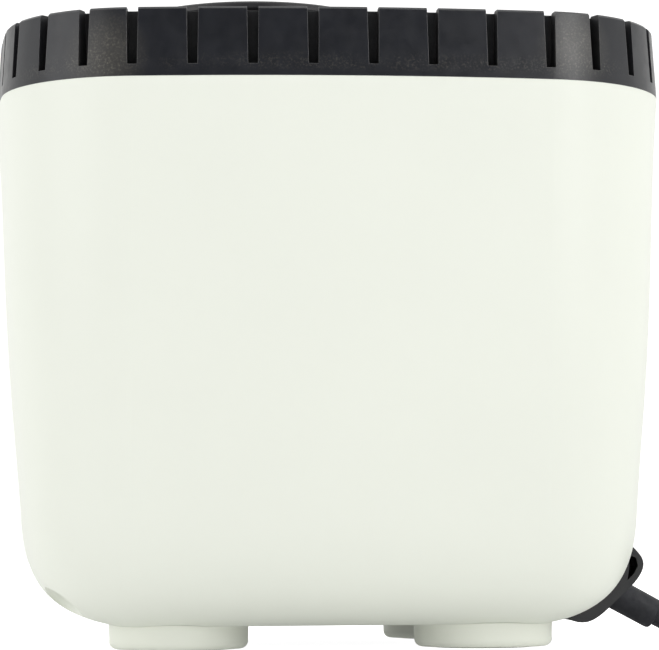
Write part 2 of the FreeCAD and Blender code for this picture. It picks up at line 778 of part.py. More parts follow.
def lid_cover():
    low = LINER_Z - 2
    inner = LID_INSET + LID_SKIN
    lid = slab(LID_INSET, low, LID_Z).cut(behind(LID_BACK)).cut(rear_corners(0.0))
    hollow = slab(inner, low - 1, LID_Z - LID_SKIN).cut(behind(LID_BACK - LID_SKIN))
    lid = lid.cut(hollow.cut(rear_corners(LID_SKIN)))
    lid = lid.makeFillet(0.8, [e for e in lid.Edges if e.BoundBox.ZMin > LID_Z - 1e-3])
    lid = lid.cut(box((LID_BACK - 5, -120, low - 1), (LID_BACK + 1, 120, LINER_Z + 2.2)))
    (x0, y0, z0), (x1, y1, z1) = POCKET
    lid = lid.fuse(box((x0 - 1.5, y0 - 1.5, z0 - 1.5), (x1 + 1.5, y1 + 1.5, LID_Z - 1)))
    lid = lid.cut(box((x0, y0, z0), (x1, y1, z1)))
    lid = lid.fuse(cyl(12, LID_Z - 1, LID_Z + 8, DIAL_X)).cut(cyl(5, 190, 230, DIAL_X))
    lid = lid.cut(box((PANEL_X - 7, -30, LID_Z - 1.8), (PANEL_X + 7, 30, 220)))
    for x, y in button_places():
        lid = lid.cut(cyl(8.4, 200, 220, x, y))
    for side in (-1, 1):
        mid = side * KNUCKLE_Y
        arm = box((LID_BACK - 1, mid - 11.9, HINGE_Z - 3.5), (HINGE_X, mid + 11.9, LID_Z))
        barrel = Part.makeCylinder(KNUCKLE_R - 0.5, 23.8, V(HINGE_X, mid - 11.9, HINGE_Z), V(0, 1, 0))
        lid = lid.fuse(arm).fuse(barrel)
    for pin in hinge_pin_form(PIN_R + RUN, 20):
        lid = lid.cut(pin)
    return lid


def lid_liner():
    liner = slab(LID_INSET + LID_SKIN + 0.2, LINER_Z, LINER_Z + 2).cut(behind(LID_BACK - 0.3))
    return liner.cut(rear_corners(LID_SKIN + 0.2))


def lid_gasket():
    low = FLANGE_Z + SHEET + 0.5
    return rim_polygon([(32.2, low), (32.2, LINER_Z), (34.8, LINER_Z), (34.8, low)])


def lid_magnet():
    return box((-101, -10, LINER_Z + 2), (-93, 10, LID_Z - 7.7))


def magnet_keeper():
    return box((-103.5, -10, LEDGE_Z), (-95.2, 10, LEDGE_Z + 1.4))


def control_board():
    return box((-89, -52, BOARD_TOP - 1.6), (20, 52, BOARD_TOP))


def dial_encoder():
    body = cyl(9, BOARD_TOP, LID_Z - LID_SKIN - 0.1, DIAL_X)
    return body.fuse(cyl(3, BOARD_TOP, LID_Z + 9.5, DIAL_X))


def tact_switches():
    return Part.Compound([box((x - 3, y - 3, BOARD_TOP), (x + 3, y + 3, BOARD_TOP + 0.8))
                          for x, y in button_places()])


def display_lens():
    return box((PANEL_X - 7, -30, LID_Z - 1.8), (PANEL_X + 7, 30, LID_Z + 0.2))


def button(x, y):
    top = LID_Z + 1.0
    cap = cyl(8.0, top - 4.6, top, x, y)
    cap = cap.makeFillet(0.6, [e for e in cap.Edges if e.BoundBox.ZMin > top - 0.1])
    return cap.fuse(cyl(9.6, top - 6.1, top - 4.2, x, y))


def control_dial():
    """Low round knob: drum side, rounded rim, shallow dished top."""
    low = LID_Z + 0.4
    roof = LID_Z + 9.9
    skirt = [(12 + RUN, low), (DIAL_R - 1.0, low), (DIAL_R - 0.6, low + 1), (DIAL_R - 2.2, DIAL_Z - 3.4)]
    rounding = [(DIAL_R, DIAL_Z - 2.6), (DIAL_R, DIAL_Z - 0.8), (DIAL_R - 0.9, DIAL_Z)]
    dish = [(DIAL_R - 6, DIAL_Z - 0.2), (DIAL_R - 9, DIAL_Z - 1.6), (0, DIAL_Z - 2.6)]
    knob = turned(skirt + rounding + dish + [(0, roof), (12 + RUN, roof)], DIAL_X)
    hollow = tube(DIAL_R - 5, 15, low - 1, roof, DIAL_X)
    return knob.cut(hollow)


def build():
    names = ["foot_front_right", "foot_front_left", "foot_rear_right", "foot_rear_left"]
    save("outer_shell", outer_shell())
    save("bottom_cover", bottom_cover())
    save("hatch_screws", hatch_screws())
    for name, (x, y) in zip(names, FEET):
        save(name, foot(x, y))
    save("vent_crown", vent_crown())
    save("hinge_pins", Part.Compound(hinge_pin_form(PIN_R, 14.7)))
    simple = [foot_pads, water_tank, tank_gasket, heater_plate, heating_element, heat_shield, thermal_fuse,
              temperature_probe, probe_nut, drain_tube, drain_bung, drain_cover, chassis_plate,
              chassis_posts, chassis_screws, circulation_motor, motor_shaft, drive_magnet, cooling_fan,
              impeller_post, impeller_magnet, impeller, flow_guard, board_posts, power_board,
              transformer, relays, capacitors, terminal_block, strain_relief, cord_panel, cord_clamp,
              cord_entry, cord_lead, cord_coil, cord_tail, cord_tie, plug_body, plug_pins, lid_cover,
              lid_liner, lid_gasket, lid_magnet, magnet_keeper, control_board, dial_encoder,
              tact_switches, display_lens, control_dial]
    for maker in simple:
        save(maker.__name__, maker())
    for name, (x, y) in zip(["power_button", "start_button"], button_places()):
        save(name, button(x, y))


build()
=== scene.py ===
"""Countertop circulating water bath: camera, light, materials and finished meshes round the CAD frame."""
import bpy
import bmesh
import json
import math
from mathutils import Matrix, Vector


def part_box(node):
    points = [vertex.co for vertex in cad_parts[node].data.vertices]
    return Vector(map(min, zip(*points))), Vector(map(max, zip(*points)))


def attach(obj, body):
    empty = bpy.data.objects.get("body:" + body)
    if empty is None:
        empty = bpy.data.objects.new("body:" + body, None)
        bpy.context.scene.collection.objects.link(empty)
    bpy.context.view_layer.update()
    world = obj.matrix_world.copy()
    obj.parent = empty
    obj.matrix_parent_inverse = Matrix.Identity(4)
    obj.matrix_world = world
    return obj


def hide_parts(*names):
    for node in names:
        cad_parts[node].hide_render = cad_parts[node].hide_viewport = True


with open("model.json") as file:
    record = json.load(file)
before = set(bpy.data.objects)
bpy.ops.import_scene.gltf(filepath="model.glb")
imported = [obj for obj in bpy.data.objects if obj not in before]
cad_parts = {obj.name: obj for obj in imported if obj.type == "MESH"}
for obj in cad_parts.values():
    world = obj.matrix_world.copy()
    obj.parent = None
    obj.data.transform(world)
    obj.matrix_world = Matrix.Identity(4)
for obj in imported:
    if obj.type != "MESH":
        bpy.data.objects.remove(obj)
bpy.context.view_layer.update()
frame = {"nodes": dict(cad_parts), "record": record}
MM = 0.001
NODES = frame["nodes"]


# ---------------------------------------------------------------- camera
CAMERA_AT = (-0.0772, -0.9831, 0.0316)
CAMERA_TURN = -4.742        # degrees, to the right of +Y
CAMERA_TILT = 4.873         # degrees, up from level
CAMERA_ROLL = -0.375        # degrees
CAMERA_LENS = 147.72        # mm, on a sensor 36 mm wide


def make_camera():
    """Near the floor in front of the body, turned a little to the right and tilted up."""
    data = bpy.data.cameras.new("camera")
    data.sensor_width = 36.0
    data.lens = CAMERA_LENS
    data.clip_start = 0.05
    data.clip_end = 60
    camera = bpy.data.objects.new("camera", data)
    bpy.context.scene.collection.objects.link(camera)
    camera.location = CAMERA_AT
    turn = Matrix.Rotation(math.radians(CAMERA_TURN), 3, "Z")
    tilt = Matrix.Rotation(math.radians(90 + CAMERA_TILT), 3, "X")
    roll = Matrix.Rotation(math.radians(CAMERA_ROLL), 3, "Z")
    camera.rotation_euler = (turn @ tilt @ roll).to_euler()
    bpy.context.scene.camera = camera


make_camera()


# ---------------------------------------------------------------- mains cord
CORD_D = 7.4 * MM
BOOT_ROOT = Vector((96, 0, 24.0)) * MM
BOOT_DIP = math.radians(28.6)
BOOT_LEN = 31 * MM
COIL_C = Vector((190, 30, 0)) * MM
COIL_R = (36.3 * MM, 43.7 * MM)     # of the inner and the outer turns
COIL_TURNS = 4
COIL_LEAD_IN = math.radians(110)    # the part of a turn before the first full one
LAY_OVER = 0.16                     # part of a turn in which the cord moves over to its next place
LEAD = [(133.2, 0, 3.7), (148, -3, 3.7), (162, -6.6, 3.7), (175.1, -11.1, 3.7)]
TAIL = [(233.7, 30, 11.1), (234.4, 42, 10.6), (236.2, 53, 10.0), (238.6, 62, 10.0)]
TURN_POINTS = 18                    # on each turn of the coil


def boot_axis():
    return Vector((math.cos(BOOT_DIP), 0, -math.sin(BOOT_DIP)))


def coil_points():
    """Two turns on the floor, outer then inner, and two on top of them, inner then outer."""
    inner, outer = COIL_R
    low, high = CORD_D / 2, CORD_D * 1.5
    plan = [(outer, low), (inner, low), (inner, high), (outer, high)]
    total = COIL_LEAD_IN + COIL_TURNS * 2 * math.pi
    count = round(total / (2 * math.pi) * TURN_POINTS)
    points = []
    for i in range(1, count):
        angle = total * i / count
        turn = angle / (2 * math.pi)
        index = min(COIL_TURNS - 1, int(turn))
        radius, height = plan[index]
        ease = (turn - index) / LAY_OVER
        if index and ease < 1:
            before = plan[index - 1]
            radius = before[0] + (radius - before[0]) * ease
            height = before[1] + (height - before[1]) * ease
        place = angle - COIL_LEAD_IN
        points.append(COIL_C + Vector((radius * math.cos(place), radius * math.sin(place), height)))
    return points


def make_cord():
    """One curve from the boot's end through the coil to the plug."""
    tip = BOOT_ROOT + boot_axis() * BOOT_LEN
    route = [tip] + [Vector(p) * MM for p in LEAD] + coil_points() + [Vector(p) * MM for p in TAIL]
    data = bpy.data.curves.new("mains_cord", "CURVE")
    data.dimensions = "3D"
    data.bevel_depth = 1.0
    data.bevel_resolution = 5
    data.resolution_u = 6
    data.use_fill_caps = True
    spline = data.splines.new("NURBS")
    spline.points.add(len(route) - 1)
    for point, place in zip(spline.points, route):
        point.co = (*place, 1)
        point.radius = CORD_D / 2
    spline.order_u = 3
    spline.use_endpoint_u = True
    cord = bpy.data.objects.new("mains_cord", data)
    bpy.context.scene.collection.objects.link(cord)
    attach(cord, "base")
    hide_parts("cord_lead", "cord_coil", "cord_tail")
    return cord


CORD = make_cord()


# ---------------------------------------------------------------- materials
EDGE_ROUND = 0.3 * MM       # radius that sharp edges are shaded with
NOISE_LOW = 0.3             # most of a noise lies between these two
NOISE_HIGH = 0.7
PATCH_CORE = 0.35           # part of a patch's reach in which it is full


class Shader:
    """A material with short helpers for its nodes."""

    def __init__(self, name):
        self.material = bpy.data.materials.new(name)
        self.material.use_nodes = True
        self.tree = self.material.node_tree
        self.shader = self.tree.nodes["Principled BSDF"]
        self.place = self.node("ShaderNodeTexCoord").outputs["Object"]

    def node(self, kind, **values):
        made = self.tree.nodes.new(kind)
        for key, value in values.items():
            setattr(made, key, value)
        return made

    def link(self, a, b):
        self.tree.links.new(a, b)

    def scaled(self, scale):
        made = self.node("ShaderNodeMapping")
        made.inputs["Scale"].default_value = scale
        self.link(self.place, made.inputs["Vector"])
        return made.outputs["Vector"]

    def noise(self, size, detail=3.0, rough=0.55, stretch=None):
        """Noise whose features are about size metres across."""
        made = self.node("ShaderNodeTexNoise")
        made.inputs["Scale"].default_value = 1.0 / size
        made.inputs["Detail"].default_value = detail
        made.inputs["Roughness"].default_value = rough
        self.link(self.scaled(stretch) if stretch else self.place, made.inputs["Vector"])
        return made.outputs["Fac"]

    def span(self, value, low, high, start=NOISE_LOW, end=NOISE_HIGH):
        """Value from start to end, spread over low to high."""
        made = self.node("ShaderNodeMapRange")
        made.inputs["From Min"].default_value = start
        made.inputs["From Max"].default_value = end
        made.inputs["To Min"].default_value = low
        made.inputs["To Max"].default_value = high
        self.link(value, made.inputs["Value"])
        return made.outputs["Result"]

    def ramp(self, value, colours):
        """Two colours, mixed by a noise value."""
        made = self.node("ShaderNodeValToRGB")
        made.color_ramp.elements[0].position = NOISE_LOW
        made.color_ramp.elements[1].position = NOISE_HIGH
        for element, colour in zip(made.color_ramp.elements, colours):
            element.color = (*colour, 1)
        self.link(value, made.inputs["Fac"])
        return made.outputs["Color"]

    def colour(self, value):
        self.link(value, self.shader.inputs["Base Color"])

    def roughness(self, value):
        self.link(value, self.shader.inputs["Roughness"])

    def near(self, point, reach):
        """1 at a point of the object, falling to 0 at a distance from it."""
        gap = self.node("ShaderNodeVectorMath", operation="DISTANCE")
        gap.inputs[1].default_value = point
        self.link(self.place, gap.inputs[0])
        return self.span(gap.outputs["Value"], 1, 0, reach * PATCH_CORE, reach)

    def height(self, low, high):
        """0 below one height of the object, 1 above another."""
        split = self.node("ShaderNodeSeparateXYZ")
        self.link(self.place, split.inputs["Vector"])
        return self.span(split.outputs["Z"], 0, 1, low, high)

    def math(self, operation, a, b):
        made = self.node("ShaderNodeMath", operation=operation, use_clamp=True)
        for socket, value in zip(made.inputs, (a, b)):
            if isinstance(value, (int, float)):
                socket.default_value = value
            else:
                self.link(value, socket)
        return made.outputs["Value"]

    def edges(self, radius, start, end):
        """1 along sharp edges, as wide as the radius, and 0 on faces."""
        round_off = self.node("ShaderNodeBevel", samples=4)
        round_off.inputs["Radius"].default_value = radius
        flat = self.node("ShaderNodeNewGeometry")
        turn = self.node("ShaderNodeVectorMath", operation="DOT_PRODUCT")
        self.link(round_off.outputs["Normal"], turn.inputs[0])
        self.link(flat.outputs["Normal"], turn.inputs[1])
        return self.span(turn.outputs["Value"], 1, 0, 1 - end, 1 - start)

    def hollows(self, reach, start, end):
        """1 deep in slots and corners, where little is open within a distance, and 0 on open faces."""
        made = self.node("ShaderNodeAmbientOcclusion", samples=6)
        made.inputs["Distance"].default_value = reach
        return self.span(made.outputs["AO"], 1, 0, start, end)

    def blend(self, amount, below, above):
        """Colour below, covered by colour above as far as the amount says."""
        made = self.node("ShaderNodeMix", data_type="RGBA")
        self.link(amount, made.inputs[0])
        for socket, value in zip((made.inputs[6], made.inputs[7]), (below, above)):
            if isinstance(value, tuple):
                socket.default_value = (*value, 1)
            else:
                self.link(value, socket)
        return made.outputs[2]

    def bump(self, *layers):
        """Layers of (height, depth in metres), added up."""
        edge = self.node("ShaderNodeBevel", samples=4)
        edge.inputs["Radius"].default_value = EDGE_ROUND
        last = edge.outputs["Normal"]
        for height, depth in layers:
            made = self.node("ShaderNodeBump")
            made.inputs["Distance"].default_value = depth
            made.inputs["Strength"].default_value = 1.0
            self.link(height, made.inputs["Height"])
            self.link(last, made.inputs["Normal"])
            last = made.outputs["Normal"]
        self.link(last, self.shader.inputs["Normal"])

    def set(self, **values):
        """Sockets of the shader by name, with _ for a space."""
        for key, value in values.items():
            self.shader.inputs[key.replace("_", " ")].default_value = value


def shade(colour, factor):
    """Colour made darker or paler by a factor."""
    return tuple(min(1.0, c * factor) for c in colour)


# In the finishes below, noise takes a size and bump takes depths in metres. A span's last two numbers
# are the values that it starts and ends at.
def moulded(name, colour):
    """Moulded plastic: spark-eroded grain, slight blotches in tone and gloss."""
    s = Shader(name)
    s.colour(s.ramp(s.noise(0.03, 3), [shade(colour, 0.96), shade(colour, 1.04)]))
    s.roughness(s.span(s.noise(0.004, 4), 0.36, 0.48))
    s.bump((s.noise(0.00035, 2, 0.6), 0.00001), (s.noise(0.00175, 2), 0.000007))
    return s.material


def shell_finish(name, colour):
    """Near-white satin plastic, even in tone, with a very fine grain and a few duller specks."""
    s = Shader(name)
    tone = s.ramp(s.noise(0.05, 2, 0.4), [shade(colour, 0.994), shade(colour, 1.006)])
    speck = s.span(s.noise(0.0016, 2), 0, 0.5, 0.78, 0.84)
    s.colour(s.blend(speck, tone, shade(colour, 0.93)))
    s.roughness(s.span(s.noise(0.003, 3), 0.36, 0.44))
    s.bump((s.noise(0.0004, 2, 0.6), 0.000005))
    return s.material


# pale colour painted along the crown's sharp edges as a highlight
CROWN_EDGE_HIGHLIGHT = (0.15, 0.15, 0.155)
# pale dusty colour, used both as a painted highlight on the corner teeth and as real dust in the low band
CROWN_DUST_AND_HIGHLIGHT = (0.115, 0.108, 0.092)
HIGHLIGHT_LEFT = ((-0.0785, -0.113, 0.195), 0.016)        # middle of a painted highlight on a corner tooth, and its reach
HIGHLIGHT_RIGHT = ((0.0785, -0.113, 0.199), 0.015)
DUST_FROM = (0.1885, 0.1905)                        # heights between which the dusty band begins
DUST_TO = (0.1925, 0.1960)                          # and ends
# reach of the occlusion mask that paints shade into the slots
SLOT_SHADE_REACH = 6 * MM


def crown_finish(name, colour):
    """Black spark-eroded plastic: painted highlights along the edges, painted shade in the slots, painted
    highlights with grain on the corner teeth, and a band of dust low down.
    """
    s = Shader(name)
    tone = s.ramp(s.noise(0.012, 4, 0.6), [shade(colour, 0.85), shade(colour, 1.2)])
    # painted highlight along the sharp edges of the slots and teeth
    tone = s.blend(s.math("MULTIPLY", s.edges(0.00035, 0.01, 0.12), 0.8), tone, CROWN_EDGE_HIGHLIGHT)
    grain = s.span(s.noise(0.0007, 4, 0.75), 0, 1, 0.5, 0.72)
    # painted highlight: grainy pale patches on the two front corner teeth, where they catch the side lamps
    corner_highlight = s.math("ADD", s.near(*HIGHLIGHT_LEFT), s.near(*HIGHLIGHT_RIGHT))
    band = s.math("SUBTRACT", s.height(*DUST_FROM), s.height(*DUST_TO))
    lower = s.math("MULTIPLY", band, s.span(s.noise(0.02, 3), 0, 0.6, 0.42, 0.6))
    highlight_grain = s.math("ADD", s.math("MULTIPLY", grain, 0.75), 0.3)
    dust_and_highlight = s.math("ADD", s.math("MULTIPLY", highlight_grain, corner_highlight), s.math("MULTIPLY", grain, lower))
    # painted shade: the colour goes towards black deep in the slots, where little light gets in; the same
    # mask makes them rougher
    deep = s.hollows(SLOT_SHADE_REACH, 0.28, 0.75)
    s.colour(s.blend(deep, s.blend(dust_and_highlight, tone, CROWN_DUST_AND_HIGHLIGHT), shade(colour, 0.3)))
    s.roughness(s.math("ADD", s.span(s.noise(0.004, 4), 0.28, 0.37), s.math("MULTIPLY", deep, 0.5)))
    s.bump((s.noise(0.00045, 3, 0.7), 0.000022), (s.noise(0.004, 3), 0.00001))
    return s.material


def rubbery(name, colour):
    """Matt rubber or woven cloth: blotchy in tone, with a soft coarse grain."""
    s = Shader(name)
    s.colour(s.ramp(s.noise(0.006, 4), [shade(colour, 0.85), shade(colour, 1.25)]))
    s.roughness(s.span(s.noise(0.002, 3), 0.5, 0.72))
    s.bump((s.noise(0.0006, 3), 0.00003))
    return s.material


BRUSHED = (1, 0.02, 1)          # stretch of the noise that makes long streaks along Y
SCRATCHED = (1, 0.08, 1)        # and of the one that makes short scratches


def metal(name, colour):
    """Metal brushed along Y, with fine streaks, a soft unevenness and a few short scratches."""
    s = Shader(name)
    streak = s.noise(0.0007, 3, 0.6, BRUSHED)
    tone = s.ramp(streak, [shade(colour, 0.9), shade(colour, 1.06)])
    s.colour(s.blend(s.span(s.noise(0.04, 2, 0.4), 0, 0.5), tone, shade(colour, 0.94)))
    scratch = s.span(s.noise(0.0012, 2, 0.5, SCRATCHED), 0, 0.12, 0.74, 0.8)
    s.roughness(s.math("ADD", s.span(streak, 0.25, 0.38), scratch))
    s.bump((streak, 0.000006))
    s.set(Metallic=1.0)
    return s.material


FOOT_PAINTED_LIGHT = 1.13        # the feet's colour made paler, as painted light that makes up for the shade under the body's overhang


def build_materials():
    """One finish for each material slot of the record."""
    made = {}
    for entry in frame["record"]["materials"]:
        name = entry["slot"]
        colour = tuple(entry["base_color"][:3])
        kind = entry["class"]
        if name == "shell_white":
            made[name] = shell_finish(name, colour)
        elif name == "foot_white":
            # painted light: the feet's finish is paler than their colour in the record
            made[name] = shell_finish(name, shade(colour, FOOT_PAINTED_LIGHT))
        elif name == "crown_black":
            made[name] = crown_finish(name, colour)
        elif kind in ("brushed_steel", "aluminium", "chrome", "brass"):
            made[name] = metal(name, colour)
        elif kind in ("rubber", "fabric"):
            made[name] = rubbery(name, colour)
        else:
            made[name] = moulded(name, colour)
    return made


FINISH = build_materials()


def dress_nodes():
    """Give every CAD node and the cord its slot's finish."""
    for entry in frame["record"]["subparts"]:
        mesh = NODES[entry["node"]].data
        mesh.materials.clear()
        mesh.materials.append(FINISH[entry["material_slot"]])
    CORD.data.materials.append(FINISH["cord_rubber"])


dress_nodes()


# ---------------------------------------------------------------- mesh helpers
def skin(loops, ring=False):
    """Equal loops joined in order, as vertices and faces: a solid with end caps, or a ring without."""
    count = len(loops[0])
    vertices = [point for loop in loops for point in loop]
    starts = [i * count for i in range(len(loops))]
    pairs = list(zip(starts, starts[1:]))
    faces = []
    if ring:
        pairs.append((starts[-1], starts[0]))
    for low, high in pairs:
        for i in range(count):
            j = (i + 1) % count
            faces.append((low + i, low + j, high + j, high + i))
    if not ring:
        faces.append(tuple(range(count))[::-1])
        faces.append(tuple(range(starts[-1], starts[-1] + count)))
    return vertices, faces


def circle(radius, height, count, place, ripple=0.0, ripples=0):
    """Loop about the local Z axis, its radius rippled if asked."""
    loop = []
    for i in range(count):
        angle = 2 * math.pi * i / count
        reach = radius + ripple * math.cos(ripples * angle)
        loop.append(place @ Vector((reach * math.cos(angle), reach * math.sin(angle), height)))
    return loop


def rounded(half_x, half_y, radius, height, place, steps=7):
    """Loop of a rectangle with round corners, square to the local Z axis."""
    loop = []
    for k, (sx, sy) in enumerate([(1, 1), (-1, 1), (-1, -1), (1, -1)]):
        for i in range(steps):
            angle = (k + i / (steps - 1)) * math.pi / 2
            x = sx * (half_x - radius) + radius * math.cos(angle)
            y = sy * (half_y - radius) + radius * math.sin(angle)
            loop.append(place @ Vector((x, y, height)))
    return loop


SMOOTH_UP_TO = math.radians(35)     # sharper edges than this stay hard


def add_piece(name, parts, body, slot, *replaced):
    """One object out of one or more (vertices, faces) parts, riding on a body."""
    vertices, faces = [], []
    for points, sides in parts:
        start = len(vertices)
        vertices += [tuple(p) for p in points]
        faces += [tuple(start + i for i in side) for side in sides]
    mesh = bpy.data.meshes.new(name)
    mesh.from_pydata(vertices, [], faces)
    work = bmesh.new()
    work.from_mesh(mesh)
    bmesh.ops.recalc_face_normals(work, faces=work.faces)
    work.to_mesh(mesh)
    work.free()
    mesh.shade_smooth()
    mesh.set_sharp_from_angle(angle=SMOOTH_UP_TO)
    mesh.materials.append(FINISH[slot])
    piece = bpy.data.objects.new(name, mesh)
    bpy.context.scene.collection.objects.link(piece)
    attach(piece, body)
    if replaced:
        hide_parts(*replaced)
    return piece


def middle(node):
    """Centre of a CAD node's box."""
    low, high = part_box(node)
    return (Vector(low) + Vector(high)) / 2


def along(start, axis):
    """Place whose local Z runs from a point along an axis, with its local X level."""
    turn = Vector(axis).to_track_quat("Z", "Y").to_matrix().to_4x4()
    return Matrix.Translation(start) @ turn


# ---------------------------------------------------------------- dial, buttons and display
# Profiles and bars are in mm.
CAP = [(6, -4.2), (2.4, -4.0), (2.2, -3.4), (0.5, -2.9), (0, -2.4), (0, -1.0), (0.25, -0.45), (0.9, 0),
       (2.4, 0), (6, -0.25), (7.5, -0.8), (9, -1.5), (20, -2.1), (40, -2.6)]    # inset, height from the top
SKIRT = [(6.0, 0, 0), (1.4, 0, 0), (0.9, 0.5, 0.28), (1.5, 6.6, 0.28), (2.6, 13.0, 0),
         (6.0, 13.0, 0)]    # inset, height from the bottom, depth of the ribs
RIBS = 96
POINTER = [(4.5, 0.8, 0.7, -0.5), (4.5, 0.8, 0.7, 0.32),
           (4.3, 0.6, 0.5, 0.42)]       # half sizes, corner radius, height
POINTER_IN = 13.5       # from the rim to the pointer's middle
POINTER_DOWN = 1.75     # from the top to the dish under it


def make_dial():
    """Dark dished cap with a bevelled rim on a finely ribbed metal skirt, and a white pointer."""
    low, high = (Vector(p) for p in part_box("control_dial"))
    radius = (high.x - low.x) / 2
    centre = middle("control_dial")
    place = Matrix.Translation((centre.x, 0, 0))
    cap = [circle(radius - inset * MM, high.z + z * MM, 160, place) for inset, z in CAP]
    add_piece("dial_cap", [skin(cap)], "dial", "dial_dark", "control_dial")
    ribs = [circle(radius - inset * MM, low.z + z * MM, 6 * RIBS, place, depth * MM, RIBS)
            for inset, z, depth in SKIRT]
    add_piece("dial_skirt", [skin(ribs, ring=True)], "dial", "encoder_grey")
    mark = Matrix.Translation((centre.x - radius + POINTER_IN * MM, 0, high.z - POINTER_DOWN * MM))
    bars = [rounded(x * MM, y * MM, corner * MM, z * MM, mark) for x, y, corner, z in POINTER]
    add_piece("dial_pointer", [skin(bars)], "dial", "fuse_white")


KEY_CAP = 8.0 * MM      # radius
KEY_FLANGE = 1.9 * MM   # thickness
KEY_TOP = [(0, -1.0), (0.18, -0.4), (0.6, -0.08), (1.2, 0), (2.2, -0.1), (4.4, -0.32),
           (7.0, -0.4)]     # inset, height from the top, in mm


def make_button(node, body, symbol):
    """Round key with a rolled edge, a shallow dish and a raised symbol."""
    low, high = (Vector(p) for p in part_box(node))
    centre = middle(node)
    place = Matrix.Translation((centre.x, centre.y, 0))
    flange = (high.x - low.x) / 2
    profile = [(flange, low.z), (flange, low.z + KEY_FLANGE), (KEY_CAP, low.z + KEY_FLANGE)]
    profile += [(KEY_CAP - inset * MM, high.z + z * MM) for inset, z in KEY_TOP]
    cap = skin([circle(r, z, 72, place) for r, z in profile])
    add_piece(node + "_cap", [cap], body, "button_grey", node)
    base = high.z - 0.6 * MM
    top = high.z - 0.12 * MM
    add_piece(node + "_symbol", symbol(centre, base, top), body, "fuse_white")


ARC_STEPS = 24


def arc_bar(centre, radius, width, start, end, base, top):
    """Thin curved bar between two angles in degrees."""
    loops = []
    for i in range(ARC_STEPS + 1):
        angle = math.radians(start + (end - start) * i / ARC_STEPS)
        ray = Vector((math.cos(angle), math.sin(angle), 0))
        inner = Vector((centre.x, centre.y, 0)) + ray * (radius - width / 2)
        outer = Vector((centre.x, centre.y, 0)) + ray * (radius + width / 2)
        loops.append([Vector((*inner.xy, base)), Vector((*outer.xy, base)), Vector((*outer.xy, top)),
                      Vector((*inner.xy, top))])
    return skin(loops)


def power_symbol(centre, base, top):
    """Broken ring with a bar in its gap, which faces the lid's hinge."""
    place = Matrix.Translation((centre.x + 1.9 * MM, centre.y, 0))
    bar = skin([rounded(1.3 * MM, 0.3 * MM, 0.28 * MM, z, place) for z in (base, top)])
    return [arc_bar(centre, 2.4 * MM, 0.6 * MM, 38, 322, base, top), bar]


def start_symbol(centre, base, top):
    """Triangle that points to the side."""
    corners = [(2.3, 0), (-1.5, -2.1), (-1.5, 2.1)]
    loops = [[Vector((centre.x + y * MM, centre.y + x * MM, z)) for x, y in corners] for z in (base, top)]
    return [skin(loops)]


LENS_GAP = 0.05 * MM    # between the lens and the box of the CAD one
LENS_CORNER = 1.2       # mm


def make_display():
    """Smoked lens with round corners and a rolled edge."""
    low, high = (Vector(p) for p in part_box("display_lens"))
    centre = middle("display_lens")
    place = Matrix.Translation((centre.x, centre.y, 0))
    half = ((high.x - low.x) / 2 - LENS_GAP, (high.y - low.y) / 2 - LENS_GAP)
    steps = [(0, low.z), (0, high.z - 0.35 * MM), (0.1, high.z - 0.12 * MM), (0.35, high.z)]
    lens = skin([rounded(half[0] - i * MM, half[1] - i * MM, (LENS_CORNER - i) * MM, z, place)
                 for i, z in steps])
    add_piece("display_window", [lens], "lid", "display_glass", "display_lens")


SEGMENTS = [(0, 1, True), (0, 0, True), (0, -1, True), (-1, 0.5, False), (1, 0.5, False),
            (-1, -0.5, False), (1, -0.5, False)]    # across, up, level, in half widths and half heights
DIGIT_PITCH = 8.5 * MM
DIGIT_HALF = 1.7 * MM           # width
DIGIT_TALL = 5.4 * MM
BAR_HALF = 0.28 * MM            # width of a bar
BAR_FILL = (0.78, 0.8)          # part of the digit's sides that level and upright bars take up


def make_digits():
    """Three unlit seven-bar digits, printed pale on the lens."""
    centre = middle("display_lens")
    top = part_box("display_lens")[1][2]
    parts = []
    for number in (-1, 0, 1):
        for across, up, level in SEGMENTS:
            x = centre.x - up * DIGIT_TALL / 2
            y = centre.y - number * DIGIT_PITCH - across * DIGIT_HALF
            half = (DIGIT_TALL / 4 * BAR_FILL[1], BAR_HALF)
            if level:
                half = (BAR_HALF, DIGIT_HALF * BAR_FILL[0])
            place = Matrix.Translation((x, y, 0))
            loops = [rounded(*half, 0.2 * MM, z, place, 3) for z in (top - 0.2 * MM, top + 0.02 * MM)]
            parts.append(skin(loops))
    add_piece("display_digits", parts, "lid", "post_nylon")


make_dial()
make_button("power_button", "power_key", power_symbol)
make_button("start_button", "start_key", start_symbol)
make_display()
make_digits()


# ---------------------------------------------------------------- cord boot, tie and plug
# Radii, half sizes and distances along each piece are in mm.
# The boot's profile ends at BOOT_LEN.
BOOT = [(7.4, -8), (7.4, -5.6), (5.8, -5.6), (5.8, 0), (5.7, 12), (5.6, 29.4), (5.5, 30.1), (5.2, 30.7),
        (4.7, 31), (3.9, 31)]


def make_boot():
    """Smooth strain relief with a rolled end, and its flange inside the wall."""
    place = along(BOOT_ROOT, boot_axis())
    loops = [circle(r * MM, z * MM, 72, place) for r, z in BOOT]
    return add_piece("cord_boot", [skin(loops)], "base", "cord_rubber", "strain_relief")


STRAP_EDGE = 0.4 * MM       # width of the strap's rolled edges
STRAP_CORNER = 3.6
FOLD = [(0, -0.3), (0, 0.2), (0.25, 0.45)]      # inset, height
FOLD_HALF = 2.6             # along the strap
FOLD_WIDE = 0.92            # part of the strap's width
FOLD_BACK = 3.2             # from the strap's far end
FOLD_DOWN = 0.5             # from its top


